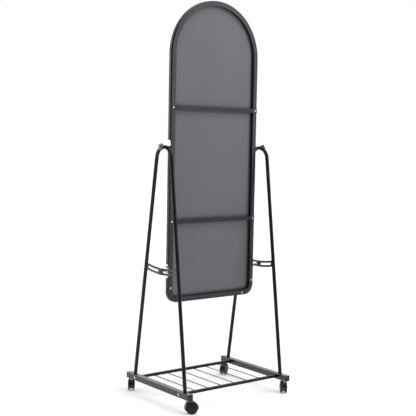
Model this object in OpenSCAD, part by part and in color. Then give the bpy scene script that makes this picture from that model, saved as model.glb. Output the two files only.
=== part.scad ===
// Rolling floor mirror: an arched mirror in a channel frame, hung between two A-frames of bent tube
// on a base of two end bars, two cross bars and a wire shelf, and standing on four twin-wheel casters.
// Millimetres. Origin on the floor under the middle of the base, +Z up, the glass faces -Y.
// Left and right are those of someone who looks into the glass, so right is +X.

/* [Mirror] */
// Outer width of the mirror frame
mirror_w = 474; // [400:1:500]
// Height of the frame's top above the pivots
mirror_above = 626; // [560:1:700]
// Depth of the frame's bottom below the pivots
mirror_below = 660; // [620:1:760]
// Outer radius of the two bottom corners
corner_r = 46; // [40:1:80]
// Width of the frame's back face
face_w = 21; // [19:0.5:26]
// Depth of the closed chamber behind the board
chamber_h = 10.5; // [9.5:0.1:14]
// Wall of the frame's profile
frame_wall = 1.5; // [1:0.1:2]
// Rounding of the profile's outer edges
edge_r = 2; // [0.5:0.1:3]
// Thickness of the mirror glass
glass_t = 4; // [3:0.5:5]
// Thickness of the back board
board_t = 3; // [2:0.5:4]
// How far glass and board reach into the frame's groove
glass_bite = 10; // [6:0.5:12]
// Angle at which the mirror stands, its top towards the front when positive
rest_tilt = 0.5; // [-6:0.1:6]
// Length of the corner pieces' tenons inside the frame's profile
tenon_l = 32; // [28:1:50]

/* [Back strips] */
// Width of the two flat strips across the back
strip_w = 18; // [14:0.5:26]
// Thickness of the strips
strip_t = 2; // [1.5:0.1:3]
// Distance of each strip's end from the frame's side
strip_margin = 1; // [0.5:0.1:3]
// Height of the upper strip above the pivots
strip_up = 165; // [100:1:250]
// Depth of the lower strip below the pivots
strip_down = 314; // [250:1:400]

/* [Side plates] */
// Distance of the plates' ends from their screws
plate_end = 8; // [6:0.5:12]
// Distance of the plates' long edges from the rounding of the frame's edges
plate_margin = 0.5; // [0.2:0.1:2]
// Thickness of the side plates
plate_t = 1.5; // [1:0.1:2]
// Distance of the plates' screws from the stud between them
plate_screw = 21; // [20:0.5:23]
// Diameter of the screws' heads
plate_head_d = 6.5; // [6:0.1:7]
// Height of the screws' heads
plate_head_h = 1.6; // [1.2:0.1:2]
// Length of the screws' shanks inside the frame's wall
plate_screw_l = 6; // [4:0.5:8]

/* [Screws] */
// Diameter of the screws on the back
screw_d = 4; // [3:0.1:5]
// Diameter of their heads
screw_head_d = 8; // [7:0.1:10]
// Height of their heads
screw_head_h = 2.4; // [1.8:0.1:3]
// Length of their shanks below what they clamp
screw_l = 8; // [5:0.5:9]
// Distance of the corner screws from the ends of the corner pieces
corner_screw = 18; // [12:1:24]

/* [A-frames] */
// Outer diameter of the bent tubes
tube_d = 16; // [14:0.5:19]
// Wall of the bent tubes
tube_wall = 1.5; // [1:0.1:2]
// Angle of each leg from upright
lean = 7.7; // [6.8:0.1:7.9]
// Radius of the bend at the top, at the tube's centre line
crown_r = 52; // [40:1:60]
// Height of the pivot axis, which crosses the top of the bend
pivot_h = 1083; // [1030:1:1140]
// Gap between the mirror's sides and the A-frames' tubes
side_gap = 20.5; // [16:0.5:30]
// Depth of the threaded plug in each foot
foot_plug = 24; // [20:1:40]
// Depth of the threaded hole in it
foot_bore = 19; // [14:1:20]
// Distance of the swivel axes outwards from the feet
foot_to_caster = 24; // [20:1:40]
// Distance of the cross bars inwards from the feet
foot_to_cross = 21; // [18:1:60]

/* [Tilt brackets] */
// Height of the lock studs above the frame's bottom
lock_up = 136; // [110:1:200]
// Width of the arc plate
arc_w = 28; // [22:0.5:34]
// Thickness of the arc plate
arc_t = 3; // [2:0.1:4]
// Width of the slot
slot_w = 10; // [7:0.1:12]
// Metal between each end of the slot and the leg beside it
slot_web = 8; // [6:0.5:60]

/* [Knobs] */
// Diameter of the pivot studs
pivot_stud_d = 8; // [6:0.1:9]
// Diameter of the lock studs
lock_stud_d = 6; // [5:0.1:6.5]
// Diameter of the pivot knobs over their lobes
pivot_knob_d = 30; // [26:0.5:36]
// Diameter of the lock knobs
lock_knob_d = 26; // [20:0.5:27]
// Height of a knob's head
knob_h = 8.5; // [8:0.5:14]
// Height of the round boss between a knob and what it clamps
knob_boss_h = 4.5; // [4:0.1:6]
// Height of the low dome on a knob's head
knob_dome_h = 1; // [0.5:0.1:2]
// Number of lobes on a pivot knob
knob_lobes = 5; // [5:1:7]
// Number of flutes round a lock knob
knob_flutes = 12; // [8:1:16]
// Radius of the flutes
flute_r = 1.6; // [1:0.1:2]
// Outer diameter of the sleeves between the mirror and the A-frames
sleeve_d = 12; // [11:0.1:14]
// Length of the threaded blocks inside the frame's profile
insert_l = 28; // [20:1:40]

/* [Base] */
// Height and width of the end bars
bar_size = 25; // [22:0.5:30]
// Wall of the end bars
bar_wall = 1.5; // [1:0.1:2]
// Outer corner radius of the end bars and cross bars
tube_corner_r = 1.5; // [1:0.1:2]
// Thickness of the end caps' plates
cap_t = 3; // [2:0.1:5]
// Wall of the end caps' plugs and of the ribs in them
cap_wall = 1.3; // [1:0.1:2]
// Length of the end caps' plugs inside the bars
cap_plug = 9; // [6:0.5:14]
// Gap between the plugs and the caster sockets
plug_gap = 2; // [1:0.1:6]
// Height and width of the cross bars
cross_size = 12; // [10:0.5:15]
// Wall of the cross bars
cross_wall = 1.2; // [1:0.1:2]
// Depth of the threaded plug in each end of the cross bars
cross_plug = 12; // [10:0.5:20]
// Diameter of the shelf's wires
wire_d = 4; // [3:0.1:5]
// Number of wires on the shelf
wire_count = 6; // [4:1:8]
// Distance between the wires
wire_pitch = 72; // [50:1:72]
// Height of the wires' centre lines above the cross bars' lower face
wire_rise = 2.5; // [2.5:0.1:6]
// Diameter of the bolts that hold the base together
bolt_d = 6; // [5:0.1:6]
// Diameter of their domed heads
bolt_head_d = 10.5; // [10:0.1:13]
// Height of their heads
bolt_head_h = 3; // [2.5:0.1:3.5]

/* [Casters] */
// Gap between the casters' hoods and the end bars
caster_gap = 6; // [5:0.5:15]
// Diameter of the wheels
wheel_d = 50; // [44:0.5:50]
// Width of one wheel
wheel_w = 9; // [8:0.5:11]
// Radius of the wheels' domed outer faces
wheel_dome_r = 100; // [70:1:200]
// Rounding of the wheels' treads
wheel_edge_r = 1.8; // [1:0.1:2.2]
// Width of the rim outside the wheels' outer groove
wheel_rim = 4.5; // [3.5:0.1:5.5]
// Radius of the hub inside the wheels' inner groove
wheel_hub_r = 7.5; // [6.5:0.1:9]
// Width and depth of the wheels' grooves
wheel_groove = 0.8; // [0.5:0.1:1]
// Number of round dimples in a wheel's outer face
dimple_count = 6; // [4:1:8]
// Diameter of the dimples
dimple_d = 5.4; // [4:0.1:6]
// Depth of the dimples
dimple_depth = 1.5; // [1:0.1:2]
// Thickness of a wheel's outer face over the end of the axle
wheel_face = 3; // [2.5:0.1:4]
// Distance between the two wheels of a caster
wheel_gap = 14; // [12:0.5:18]
// Distance of the axle behind the swivel axis
trail = 17; // [14:0.5:19]
// Gap between the wheels and the hood round them
hood_gap = 1; // [0.6:0.1:2]
// Gap between the wheels and the web between them
web_gap = 0.8; // [0.5:0.1:1.5]
// Thickness of the hood's shell
hood_t = 2; // [1.5:0.1:2.5]
// Thickness of the floor under the stem
boss_floor = 4; // [2:0.5:8]
// How far the hood reaches over each wheel
hood_over = 5; // [3:0.5:8]
// Angle of the hood's edge behind the wheels, from level
hood_rear = -10; // [-12:1:0]
// Angle of the hood's edge below the stem, from the hood's level rear side
hood_front = 199; // [190:1:202]
// Diameter of the stem
stem_d = 8; // [7:0.1:9]
// Wall of the sockets round the stems
socket_wall = 1.5; // [1:0.1:2]
// How far the sockets' flanges stand out round them
socket_flange = 2; // [1.5:0.1:4]
// Thickness of the flanges
flange_t = 1.2; // [1:0.1:2]
// Width of the collar round the stem
collar_w = 1.8; // [1:0.1:2.2]
// Height of the collar
collar_h = 1.6; // [1:0.1:3]
// Diameter of the axle
axle_d = 5; // [4:0.1:6]
// Direction in which the front left caster trails, turned from +X towards +Y
swivel_front_left = 30; // [0:1:360]
// Direction in which the front right caster trails
swivel_front_right = 235; // [0:1:360]
// Direction in which the rear left caster trails
swivel_rear_left = 238; // [0:1:360]
// Direction in which the rear right caster trails
swivel_rear_right = 157; // [0:1:360]

/* [Fits] */
// Radial clearance of shafts, studs and bolts in their holes
fit_gap = 0.05; // [0.02:0.01:0.1]
// Gap between pieces that pass each other
running_gap = 0.3; // [0.2:0.05:0.5]
// Gap around what is slid into a profile or groove
slide_gap = 0.1; // [0.05:0.05:0.3]

/* [Hidden] */
$fn = 64;
overcut = 1;

// Mirror frame, drawn flat: x across, y up from the pivots, z from the front face to the back face
half_w = mirror_w / 2;
arch_y = mirror_above - half_w;
groove_h = glass_t + board_t;
chamber_z = frame_wall + groove_h + frame_wall;
frame_depth = chamber_z + chamber_h + frame_wall;
chamber_w = face_w - 2 * frame_wall;
pivot_z = chamber_z + chamber_h / 2;
rail_y = -mirror_below + corner_r;
face_x = half_w - face_w / 2;
rail_mid_y = -mirror_below + face_w / 2;
corner_screw_x = half_w - corner_r - corner_screw;
corner_screw_y = rail_y + corner_screw;
screw_pilot_r = screw_d / 2 + fit_gap;
dome_share = 0.75;
insert_x = half_w - frame_wall - slide_gap;
insert_w = chamber_w - 2 * slide_gap;
plate_x = half_w + plate_t;
plate_w = frame_depth - 2 * (edge_r + plate_margin);

// A-frames, drawn flat: x along the bar, y up, z across the object
wheel_r = wheel_d / 2;
hood_in_r = wheel_r + hood_gap;
hood_r = hood_in_r + hood_t;
hood_top = wheel_r + hood_r;
caster_h = hood_top + caster_gap;
bar_top = caster_h + bar_size;
tube_r = tube_d / 2;
leg_x = half_w + side_gap + tube_r;
bore_r = tube_r - tube_wall;
crown_y = pivot_h - crown_r;
crown_rise = crown_y - bar_top;
leg_l = (crown_rise + crown_r * sin(lean)) / cos(lean);
foot_x = crown_r * cos(lean) + leg_l * sin(lean);
foot_trim = tube_r;
leg_inset = (bar_size - tube_d) / 2;

// Slotted arc: its radius at the middle of the slot, and angles round the pivot axis from straight
// down to the leg's centre line, the leg's inner side, the slot's end centre and the stud there
arc_r = mirror_below - lock_up;
arc_half = lean + asin(crown_r * (1 - sin(lean)) / arc_r);
leg_side = lean + asin((crown_r * (1 - sin(lean)) - tube_r) / arc_r);
slot_end = leg_side - asin((slot_web + slot_w / 2) / arc_r);
tilt_max = slot_end + asin((slot_w - lock_stud_d - 2 * running_gap) / 2 / arc_r);

// Studs, sleeves and knobs, along x from the mirror outwards
tube_inner_x = leg_x - tube_r;
tube_outer_x = leg_x + tube_r;
plate_outer_x = leg_x + arc_t / 2;
stud_start_x = insert_x - insert_w + frame_wall;
knob_cover = 2;
lobe_share = 0.16;
boss_share = 0.6;

// Base
bar_spacing = 2 * (leg_x + leg_inset);
socket_d = stem_d + 2 * socket_wall;
socket_flange_d = socket_d + 2 * socket_flange;
caster_y = foot_x + foot_to_caster;
caster_inset = cap_t + cap_plug + plug_gap + socket_d / 2;
bar_l = 2 * (caster_y + caster_inset - cap_t);
cross_y = foot_x - foot_to_cross;
cross_z = caster_h + bar_size / 2;
cross_l = bar_spacing - bar_size;
cross_shank = bar_size + cross_plug - bar_wall;
foot_shank = bar_size + foot_bore - bar_wall;
wire_l = 2 * cross_y - cross_size;
wire_z = cross_z - cross_size / 2 + wire_rise;
outer_face_x = (bar_spacing + bar_size) / 2;
stem_reach = bar_size - 2 * bar_wall;

// Casters: x behind the swivel axis, the axle along y
hood_w = wheel_gap + 2 * hood_over;
web_w = wheel_gap - 2 * web_gap;
web_share = 0.72;
web_r = wheel_r * web_share;
boss_r = wheel_gap / 2 - running_gap;
boss_bottom = wheel_r + boss_floor;
collar_r = stem_d / 2 + collar_w;
axle_l = wheel_gap + 2 * (wheel_w - wheel_face);
dimple_x = (wheel_hub_r + wheel_r - wheel_rim + wheel_groove) / 2;
swivels = [swivel_front_left, swivel_front_right, swivel_rear_left, swivel_rear_right];
corners = [[-1, -1], [1, -1], [-1, 1], [1, 1]];

// Height of a wheel's domed face above its inner face, at a distance from its axis
function dome_height(x) = wheel_w - wheel_dome_r + sqrt(pow(wheel_dome_r, 2) - pow(x, 2));

frame_black = "#3b3b3d";
tube_black = "#262628";
base_grey = "#55555a";
plastic_black = "#1d1d1f";
board_grey = "#706e75";
chrome = "#c9cbcf";
silver = "#dfe6ea";

// ---- Frames of reference ----

// Puts the mirror's flat drawing upright on the pivots, at its resting tilt
module on_mirror() {
    translate([0, 0, pivot_h]) rotate([rest_tilt, 0, 0]) translate([0, -pivot_z, 0]) rotate([90, 0, 180])
        children();
}

// Puts a piece that is drawn along x from the mirror outwards on the left or right side, at a height
// above the pivots
module beside_mirror(side, height) {
    translate([0, 0, pivot_h]) rotate([rest_tilt, 0, 0]) translate([0, 0, height])
        mirror([side < 0 ? 1 : 0, 0, 0]) children();
}

// Stands a flat drawing up across the object: x becomes y, y becomes z
module in_side_plane(side) {
    mirror([side < 0 ? 1 : 0, 0, 0]) translate([leg_x, 0, 0]) rotate([90, 0, 90]) children();
}

// A cylinder along x from one place to another
module along_x(from, to, r) {
    translate([from, 0, 0]) rotate([0, 90, 0]) cylinder(h = to - from, r = r);
}

// The place of one caster, its x axis behind the swivel
module at_caster(index) {
    spot = corners[index];
    translate([spot[0] * bar_spacing / 2, spot[1] * caster_y, 0]) rotate([0, 0, swivels[index]]) children();
}

// ---- Mirror ----

// The frame's section: x from its inner edge outwards, y from its front face back
module section(hollow) {
    difference() {
        union() {
            square([face_w - edge_r, frame_depth]);
            translate([0, edge_r]) square([face_w, frame_depth - 2 * edge_r]);
            for (y = [edge_r, frame_depth - edge_r]) translate([face_w - edge_r, y]) circle(r = edge_r);
        }
        translate([-overcut, frame_wall]) square([overcut + glass_bite + slide_gap, groove_h]);
        if (hollow) translate([frame_wall, chamber_z]) square([chamber_w, chamber_h]);
    }
}

// The outline of the glass and the board: an arch on a rectangle with two round corners
module pane_outline() {
    inset = face_w - glass_bite;
    half = half_w - inset;
    round = corner_r - inset;
    low = -mirror_below + inset;
    translate([0, arch_y]) circle(r = half);
    translate([-half, low + round]) square([2 * half, arch_y - low - round]);
    translate([-half + round, low]) square([2 * (half - round), round]);
    for (x = [-half + round, half - round]) translate([x, low + round]) circle(r = round);
}

// Holes for the studs through the frame's outer walls, at a height above the pivots
module stud_holes(height, r) {
    for (s = [-1, 1]) translate([s * (half_w - frame_wall / 2), height, pivot_z]) rotate([0, 90, 0])
        cylinder(h = frame_wall + 2 * overcut, r = r + fit_gap, center = true);
}

// A pilot hole from the back face into the chamber
module back_hole(x, y, depth) {
    translate([x, y, frame_depth - depth]) cylinder(h = depth + overcut, r = screw_pilot_r);
}

module mirror_frame() {
    color(frame_black) on_mirror() difference() {
        union() {
            translate([0, arch_y, 0]) rotate_extrude(angle = 180, $fn = 128) translate([half_w - face_w, 0])
                section(true);
            for (s = [0, 1]) mirror([s, 0, 0]) translate([half_w - face_w, arch_y, 0]) rotate([90, 0, 0])
                linear_extrude(height = arch_y - rail_y) section(true);
        }
        stud_holes(0, pivot_stud_d / 2);
        stud_holes(-arc_r, lock_stud_d / 2);
        for (height = [0, -arc_r]) {
            for (s = [-1, 1]) stud_holes(height + s * plate_screw, screw_d / 2);
        }
        for (s = [-1, 1]) {
            for (y = [strip_up, -strip_down, corner_screw_y]) back_hole(s * face_x, y, frame_wall + overcut);
        }
    }
}

module bottom_rail() {
    rail_l = mirror_w - 2 * corner_r;
    color(frame_black) on_mirror() difference() {
        translate([rail_l / 2, -mirror_below + face_w, 0]) rotate([0, 0, -90]) rotate([90, 0, 0])
            linear_extrude(height = rail_l) section(true);
        for (s = [-1, 1]) back_hole(s * corner_screw_x, rail_mid_y, frame_wall + overcut);
    }
}

// A bent corner with one tenon up into the side and one along into the bottom rail
module corner_piece(side) {
    tenon_w = chamber_w - 2 * slide_gap;
    tenon_h = chamber_h - 2 * slide_gap;
    tenon_z = chamber_z + slide_gap;
    color(plastic_black) on_mirror() mirror([side > 0 ? 1 : 0, 0, 0]) difference() {
        union() {
            translate([half_w - corner_r, rail_y, 0]) rotate([0, 0, -90]) rotate_extrude(angle = 90)
                translate([corner_r - face_w, 0]) section(false);
            translate([half_w - face_w + frame_wall + slide_gap, rail_y - overcut, tenon_z])
                cube([tenon_w, tenon_l + overcut, tenon_h]);
            translate([half_w - corner_r - tenon_l, -mirror_below + frame_wall + slide_gap, tenon_z])
                cube([tenon_l + overcut, tenon_w, tenon_h]);
        }
        back_hole(face_x, corner_screw_y, frame_wall + screw_l + overcut);
        back_hole(corner_screw_x, rail_mid_y, frame_wall + screw_l + overcut);
    }
}

module mirror_glass() {
    color(silver) on_mirror() translate([0, 0, frame_wall]) linear_extrude(height = glass_t)
        pane_outline($fn = 128);
}

module back_board() {
    color(board_grey) on_mirror() translate([0, 0, frame_wall + glass_t]) linear_extrude(height = board_t)
        pane_outline($fn = 128);
}

module back_strip(y) {
    length = mirror_w - 2 * strip_margin;
    color(frame_black) on_mirror() difference() {
        translate([-length / 2, y - strip_w / 2, frame_depth]) cube([length, strip_w, strip_t]);
        for (s = [-1, 1]) translate([s * face_x, y, frame_depth - overcut])
            cylinder(h = strip_t + 2 * overcut, r = screw_pilot_r);
    }
}

// A screw with a domed head and a cross recess; its shank points to -z from the seat of the head
module screw(length, head_d, head_h) {
    slot_width = screw_d / 4;
    dome_r = head_d * dome_share;
    difference() {
        union() {
            translate([0, 0, -length]) cylinder(h = length, d = screw_d);
            intersection() {
                cylinder(h = head_h, d = head_d);
                translate([0, 0, head_h - dome_r]) sphere(r = dome_r);
            }
        }
        for (a = [0, 90]) rotate([0, 0, a]) translate([-screw_d / 2, -slot_width / 2, head_h / 2])
            cube([screw_d, slot_width, head_h]);
    }
}

module strip_screws() {
    color(chrome) on_mirror() for (s = [-1, 1]) {
        for (y = [strip_up, -strip_down]) translate([s * face_x, y, frame_depth + strip_t])
            screw(strip_t + frame_wall + screw_l, screw_head_d, screw_head_h);
    }
}

module corner_screws() {
    color(chrome) on_mirror() for (s = [-1, 1]) {
        for (spot = [[s * face_x, corner_screw_y], [s * corner_screw_x, rail_mid_y]])
            translate([spot[0], spot[1], frame_depth])
                screw(frame_wall + screw_l, screw_head_d, screw_head_h);
    }
}

// One threaded block in the chamber of the frame's side
module thread_insert(height, r) {
    for (side = [-1, 1]) beside_mirror(side, height) difference() {
        translate([insert_x - insert_w, chamber_z + slide_gap - pivot_z, -insert_l / 2])
            cube([insert_w, chamber_h - 2 * slide_gap, insert_l]);
        along_x(insert_x - insert_w - overcut, insert_x + overcut, r + fit_gap);
    }
}

module thread_inserts() {
    color(chrome) {
        thread_insert(0, pivot_stud_d / 2);
        thread_insert(-arc_r, lock_stud_d / 2);
    }
}

// One plate on the frame's side round a stud, with rounded ends and two screw holes
module side_plate(height, r) {
    plate_y = -pivot_z + frame_depth / 2;
    round_y = plate_screw + plate_end - plate_w / 2;
    for (side = [-1, 1]) beside_mirror(side, height) difference() {
        translate([half_w, plate_y, 0]) rotate([90, 0, 90]) linear_extrude(height = plate_t) {
            square([plate_w, 2 * round_y], center = true);
            for (s = [-1, 1]) translate([0, s * round_y]) circle(d = plate_w);
        }
        along_x(half_w - overcut, plate_x + overcut, r + fit_gap);
        for (s = [-1, 1]) translate([0, 0, s * plate_screw])
            along_x(half_w - overcut, plate_x + overcut, screw_pilot_r);
    }
}

module side_plates() {
    color(chrome) {
        side_plate(0, pivot_stud_d / 2);
        side_plate(-arc_r, lock_stud_d / 2);
    }
}

// Low screws that hold the side plates; they end inside the frame's profile
module plate_screws() {
    color(chrome) for (height = [0, -arc_r]) {
        for (side = [-1, 1]) beside_mirror(side, height) {
            for (s = [-1, 1]) translate([plate_x, 0, s * plate_screw]) rotate([0, 90, 0])
                screw(plate_t + frame_wall + plate_screw_l, plate_head_d, plate_head_h);
        }
    }
}

// Sleeves that keep the mirror in the middle between the A-frames, one on each side
module pivot_sleeves() {
    color(plastic_black) for (side = [-1, 1]) beside_mirror(side, 0) difference() {
        along_x(plate_x, tube_inner_x - running_gap, sleeve_d / 2);
        along_x(plate_x - overcut, tube_inner_x + overcut, pivot_stud_d / 2 + fit_gap);
    }
}

// ---- Knobs and studs ----

// A star knob along x: a round boss, a lobed head and a low dome
module star_knob(start_x, knob_d, stud_d) {
    head_x = start_x + knob_boss_h;
    lobe_r = knob_d * lobe_share;
    color(plastic_black) difference() {
        union() {
            along_x(start_x, head_x + overcut, knob_d / 2 * boss_share);
            translate([head_x, 0, 0]) rotate([0, 90, 0]) linear_extrude(height = knob_h) {
                circle(r = knob_d / 2 - lobe_r / 2);
                for (i = [0 : knob_lobes - 1]) rotate([0, 0, 360 / knob_lobes * i])
                    translate([knob_d / 2 - lobe_r, 0]) circle(r = lobe_r);
            }
            along_x(head_x, head_x + knob_h + knob_dome_h, knob_d / 2 * boss_share);
        }
        along_x(start_x - overcut, head_x + knob_h - knob_cover, stud_d / 2 + fit_gap);
    }
}

// A round knob along x: a round boss, a head with shallow flutes round its rim, and a low dome
module fluted_knob(start_x, knob_d, stud_d) {
    head_x = start_x + knob_boss_h;
    color(plastic_black) difference() {
        union() {
            along_x(start_x, head_x + overcut, knob_d / 2 * boss_share);
            along_x(head_x, head_x + knob_h, knob_d / 2);
            along_x(head_x, head_x + knob_h + knob_dome_h, knob_d / 2 * boss_share);
        }
        for (i = [0 : knob_flutes - 1]) rotate([360 / knob_flutes * i, 0, 0])
            translate([0, knob_d / 2 + flute_r / 2, 0])
                along_x(head_x - overcut, head_x + knob_h + overcut, flute_r);
        along_x(start_x - overcut, head_x + knob_h - knob_cover, stud_d / 2 + fit_gap);
    }
}

// The threaded stud of a knob, from inside the frame to inside the knob
module stud(start_x, stud_d) {
    color(chrome) along_x(stud_start_x, start_x + knob_boss_h + knob_h - knob_cover, stud_d / 2);
}

module pivot_knob(side) {
    beside_mirror(side, 0) star_knob(tube_outer_x + running_gap, pivot_knob_d, pivot_stud_d);
}

module pivot_stud(side) {
    beside_mirror(side, 0) stud(tube_outer_x + running_gap, pivot_stud_d);
}

module lock_knob(side) {
    beside_mirror(side, -arc_r) fluted_knob(plate_outer_x + running_gap, lock_knob_d, lock_stud_d);
}

module lock_stud(side) {
    beside_mirror(side, -arc_r) stud(plate_outer_x + running_gap, lock_stud_d);
}

// ---- A-frames and tilt brackets ----

// The straight part of one leg as a solid rod, from the end of the bend down, round the bend's centre
module straight_leg(length, r) {
    rotate([0, 0, lean]) translate([crown_r, 0, 0]) rotate([90, 0, 0]) cylinder(h = length, r = r);
}

// One leg as a solid rod, with the bend to past its top, where the other leg's half takes over
module leg_rod(length, r) {
    past_top = 120;
    rotate([0, 0, lean]) rotate_extrude(angle = past_top - lean) translate([crown_r, 0]) circle(r = r);
    straight_leg(length, r);
}

// Half of an A-frame, round the bend's centre: a tube with a plug in its foot
module half_leg_frame() {
    difference() {
        leg_rod(leg_l + foot_trim, tube_r);
        leg_rod(leg_l - foot_plug, bore_r);
        // the pivot stud turns in the top of the bend
        translate([0, crown_r, 0]) cylinder(h = 2 * tube_d, r = pivot_stud_d / 2 + fit_gap, center = true);
        // the foot stands flat on the end bar, and a bolt comes up into its plug
        translate([0, -crown_rise - 2 * foot_trim, -tube_d]) cube([2 * foot_x, 2 * foot_trim, 2 * tube_d]);
        translate([foot_x, -crown_rise - overcut, 0]) rotate([-90, 0, 0])
            cylinder(h = foot_bore + overcut, r = bolt_d / 2 + fit_gap);
        translate([-4 * crown_r, -crown_r, -tube_d]) cube([4 * crown_r, 4 * crown_r, 2 * tube_d]);
    }
}

module leg_frame(side) {
    color(tube_black) in_side_plane(side) translate([0, crown_y, 0]) {
        half_leg_frame();
        mirror([1, 0, 0]) half_leg_frame();
    }
}

// A flat arc round the pivot axis, which is at the origin, to an angle on either side of straight down
module arc_bar(half_angle, width, thickness) {
    rotate([0, 0, -90 - half_angle]) rotate_extrude(angle = 2 * half_angle, $fn = 128)
        translate([arc_r - width / 2, 0]) square([width, thickness]);
}

// The arc plate, cut to the legs' round walls, with its slot round the pivot axis
module tilt_bracket(side) {
    color(base_grey) in_side_plane(side) difference() {
        translate([0, pivot_h, -arc_t / 2]) arc_bar(arc_half, arc_w, arc_t);
        for (s = [0, 1]) mirror([s, 0, 0]) translate([0, crown_y, 0]) straight_leg(leg_l, tube_r);
        translate([0, pivot_h, -arc_t]) arc_bar(slot_end, slot_w, 2 * arc_t);
        for (a = [-slot_end, slot_end]) translate([arc_r * sin(a), pivot_h - arc_r * cos(a), -arc_t])
            cylinder(h = 2 * arc_t, d = slot_w);
    }
}

// ---- Base ----

// A square outline with round corners
module round_square(size, r) {
    square([size, size - 2 * r], center = true);
    square([size - 2 * r, size], center = true);
    for (x = [-1, 1]) {
        for (y = [-1, 1]) translate([x * (size / 2 - r), y * (size / 2 - r)]) circle(r = r);
    }
}

// A square tube with round corners along y
module square_tube(length, size, wall) {
    translate([0, length / 2, 0]) rotate([90, 0, 0]) difference() {
        linear_extrude(height = length) round_square(size, tube_corner_r);
        translate([0, 0, -overcut]) linear_extrude(height = length + 2 * overcut)
            square(size - 2 * wall, center = true);
    }
}

module end_bar(side) {
    hole_r = bolt_d / 2 + fit_gap;
    color(base_grey) mirror([side < 0 ? 1 : 0, 0, 0]) translate([bar_spacing / 2, 0, cross_z]) difference() {
        square_tube(bar_l, bar_size, bar_wall);
        for (s = [-1, 1]) {
            translate([0, s * cross_y, 0]) along_x(-bar_size, bar_size, hole_r);
            translate([-leg_inset, s * foot_x, 0]) cylinder(h = 2 * bar_size, r = hole_r, center = true);
            translate([0, s * caster_y, -bar_size]) cylinder(h = bar_size, d = socket_d + 2 * fit_gap);
        }
    }
}

// A cap on one end of an end bar: a plate with round corners, and a hollow plug with four ribs
module end_cap(side, end) {
    plug = bar_size - 2 * bar_wall - 2 * slide_gap;
    bore = plug - 2 * cap_wall;
    color(plastic_black) mirror([side < 0 ? 1 : 0, 0, 0]) mirror([0, end < 0 ? 1 : 0, 0])
        translate([bar_spacing / 2, bar_l / 2, cross_z]) rotate([-90, 0, 0]) {
            linear_extrude(height = cap_t) round_square(bar_size, tube_corner_r);
            difference() {
                translate([0, 0, -cap_plug]) linear_extrude(height = cap_plug)
                    round_square(plug, tube_corner_r);
                translate([0, 0, -cap_plug - overcut]) linear_extrude(height = cap_plug + overcut)
                    square(bore, center = true);
            }
            for (a = [0, 90]) rotate([0, 0, a]) translate([0, 0, -cap_plug / 2])
                cube([bore + cap_wall, cap_wall, cap_plug], center = true);
        }
}

module cross_bar(end) {
    color(tube_black) translate([0, end * cross_y, cross_z]) difference() {
        union() {
            rotate([0, 0, 90]) square_tube(cross_l, cross_size, cross_wall);
            for (s = [-1, 1]) translate([s * (cross_l - cross_plug) / 2, 0, 0])
                cube([cross_plug, cross_size - cross_wall, cross_size - cross_wall], center = true);
        }
        for (s = [-1, 1]) mirror([s < 0 ? 1 : 0, 0, 0])
            along_x(cross_l / 2 - cross_plug - overcut, cross_l / 2 + overcut, bolt_d / 2 + fit_gap);
    }
}

// Parallel wires between the two cross bars
module shelf_wires() {
    color("#a9a9ad") for (i = [0 : wire_count - 1]) {
        translate([(i - (wire_count - 1) / 2) * wire_pitch, -wire_l / 2, wire_z]) rotate([-90, 0, 0])
            cylinder(h = wire_l, d = wire_d, $fn = 32);
    }
}

// A bolt with a domed head and a six-sided socket; its shank points to -z from the seat of the head
module bolt(length) {
    dome_r = bolt_head_d * dome_share;
    difference() {
        union() {
            translate([0, 0, -length]) cylinder(h = length, d = bolt_d);
            intersection() {
                cylinder(h = bolt_head_h, d = bolt_head_d);
                translate([0, 0, bolt_head_h - dome_r]) sphere(r = dome_r);
            }
        }
        translate([0, 0, bolt_head_h / 2]) cylinder(h = bolt_head_h, r = bolt_d / 3, $fn = 6);
    }
}

module cross_bolts() {
    color(chrome) for (side = [0, 1]) mirror([side, 0, 0]) {
        for (s = [-1, 1]) translate([outer_face_x, s * cross_y, cross_z]) rotate([0, 90, 0])
            bolt(cross_shank);
    }
}

module foot_bolts() {
    color(chrome) for (side = [-1, 1]) {
        for (s = [-1, 1]) translate([side * leg_x, s * foot_x, caster_h]) rotate([180, 0, 0])
            bolt(foot_shank);
    }
}

// Flanged sockets in the end bars' lower walls, closed at the top
module caster_sockets() {
    socket_h = bar_size - bar_wall;
    color(plastic_black) for (spot = corners) {
        translate([spot[0] * bar_spacing / 2, spot[1] * caster_y, caster_h]) difference() {
            union() {
                translate([0, 0, -flange_t]) cylinder(h = flange_t, d = socket_flange_d);
                cylinder(h = socket_h, d = socket_d);
            }
            translate([0, 0, -flange_t - overcut])
                cylinder(h = flange_t + overcut + stem_reach + running_gap, r = stem_d / 2 + fit_gap);
        }
    }
}

// ---- Casters ----

// The hood: a part ring over both wheels, a web between them and a boss for the stem
module caster_hood(index) {
    color(plastic_black) at_caster(index) difference() {
        union() {
            hood_ring(hood_rear, hood_front, hood_in_r, hood_r, hood_w);
            hood_ring(hood_rear, hood_front, web_r - overcut, hood_in_r + hood_t / 2, web_w);
            translate([trail, web_w / 2, wheel_r]) rotate([90, 0, 0]) cylinder(h = web_w, r = web_r);
            translate([0, 0, boss_bottom]) cylinder(h = hood_top - boss_bottom, r = boss_r);
        }
        translate([0, 0, boss_bottom + boss_floor]) cylinder(h = caster_h, r = stem_d / 2 + fit_gap);
        translate([trail, hood_w, wheel_r]) rotate([90, 0, 0])
            cylinder(h = 2 * hood_w, r = axle_d / 2 + fit_gap);
    }
}

// A part ring round the axle, from one angle above level behind the wheels to another
module hood_ring(from, to, r_in, r_out, width) {
    translate([trail, width / 2, wheel_r]) rotate([90, 0, 0]) rotate([0, 0, from])
        rotate_extrude(angle = to - from) translate([r_in, 0]) square([r_out - r_in, width]);
}

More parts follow.
